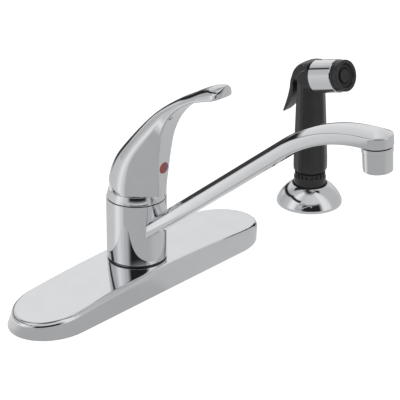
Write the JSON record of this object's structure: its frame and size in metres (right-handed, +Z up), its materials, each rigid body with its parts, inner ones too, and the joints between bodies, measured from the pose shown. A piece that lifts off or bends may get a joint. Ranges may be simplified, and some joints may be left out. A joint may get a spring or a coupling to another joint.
{
  "type": "side spray kitchen faucet",
  "caption": "Deck-plate kitchen faucet with a long swivel spout, a lever mixer on a ball dome and a pull-out hand spray in its own deck holder.",
  "frame": {"origin": "centre of the valve body on the sink deck, at the underside of the deck gasket", "axes": "+Z up along the valve body, +X along the deck plate towards the side spray, spout and handle towards -Y"},
  "size_m": [0.3597, 0.2693, 0.2598],
  "materials": {
    "chrome_plate": "polished",
    "handle_chrome": "polished",
    "spout_chrome": "polished",
    "brass": "machined",
    "copper": "drawn tube",
    "zinc_steel": "zinc plated",
    "stainless": "satin",
    "rubber": "matte",
    "black_plastic": "satin moulded",
    "white_plastic": "moulded",
    "grey_plastic": "moulded",
    "ceramic": "lapped",
    "index_dye": "two-colour, red and blue"
  },
  "bodies": {
    "base": {"deck_plate": "chrome_plate", "base_gasket": "rubber", "mounting_strap": "zinc_steel", "body_screws": "zinc_steel", "mounting_studs": "zinc_steel", "deck_washers": "zinc_steel", "wing_nuts": "white_plastic", "valve_body": "brass", "spout_seals": "rubber", "lower_glide_ring": "black_plastic", "upper_glide_ring": "black_plastic", "hot_supply_tail": "copper", "cold_supply_tail": "copper", "hot_inlet_fitting": "brass", "cold_inlet_fitting": "brass", "spray_outlet": "brass", "diverter_sleeve": "grey_plastic", "bonnet_nut": "brass", "bonnet_cap": "handle_chrome", "cartridge_housing": "grey_plastic", "cartridge_seals": "rubber", "fixed_disc": "ceramic", "spray_flange": "chrome_plate", "spray_support": "black_plastic", "spray_locknut": "white_plastic"},
    "spout_arm": {"spout": "spout_chrome", "aerator_shell": "spout_chrome", "aerator_washer": "rubber", "aerator_insert": "white_plastic"},
    "mixer": {"cartridge_rotor": "grey_plastic", "pivot_pin": "stainless"},
    "lever": {"lever_stem": "zinc_steel", "handle": "handle_chrome", "index_button": "index_dye", "set_screw": "stainless"},
    "flow_disc": {"moving_disc": "ceramic", "disc_carrier": "grey_plastic"},
    "diverter": {"diverter_plunger": "white_plastic"},
    "spray": {"spray_handpiece": "black_plastic", "head_band": "chrome_plate", "nozzle_ring": "black_plastic", "spray_face": "rubber", "hose_connector": "brass", "connector_washer": "rubber", "spray_valve_seat": "rubber", "trigger_pin": "stainless"},
    "spray_trigger": {"trigger": "black_plastic"},
    "spray_stem": {"spray_valve_stem": "brass"}
  },
  "joints": [
    {"name": "spout_swivel", "type": "hinge", "parent": "base", "child": "spout_arm", "pos_m": [0, 0, 0], "axis": [0, 0, 1], "range_deg": [-60, 60]},
    {"name": "handle_turn", "type": "hinge", "parent": "base", "child": "mixer", "pos_m": [0, 0, 0.08], "axis": [0, 0, 1], "range_deg": [-45, 45]},
    {"name": "handle_lift", "type": "hinge", "parent": "mixer", "child": "lever", "pos_m": [0, 0, 0.08], "axis": [-1, 0, 0], "range_deg": [0, 20]},
    {"name": "flow_slide", "type": "slide", "parent": "mixer", "child": "flow_disc", "axis": [0, -1, 0], "range_m": [0, 0.0043]},
    {"name": "diverter_lift", "type": "slide", "parent": "base", "child": "diverter", "axis": [0, 0, 1], "range_m": [0, 0.0026]},
    {"name": "spray_lift", "type": "slide", "parent": "base", "child": "spray", "axis": [0, 0, 1], "range_m": [0, 0.08]},
    {"name": "trigger_press", "type": "hinge", "parent": "spray", "child": "spray_trigger", "pos_m": [0.2032, -0.007, 0.124], "axis": [-1, 0, 0], "range_deg": [0, 9.5], "stiffness_Nm_per_rad": 0.6, "springref_deg": -5.73},
    {"name": "stem_push", "type": "slide", "parent": "spray", "child": "spray_stem", "axis": [0, -1, 0], "range_m": [0, 0.0042]}
  ],
  "couplings": [
    {"joint": "flow_slide", "follows": "handle_lift", "m_per_rad": 0.012},
    {"joint": "stem_push", "follows": "trigger_press", "m_per_rad": 0.0228},
    {"joint": "diverter_lift", "follows": "trigger_press", "m_per_rad": 0.015}
  ]
}
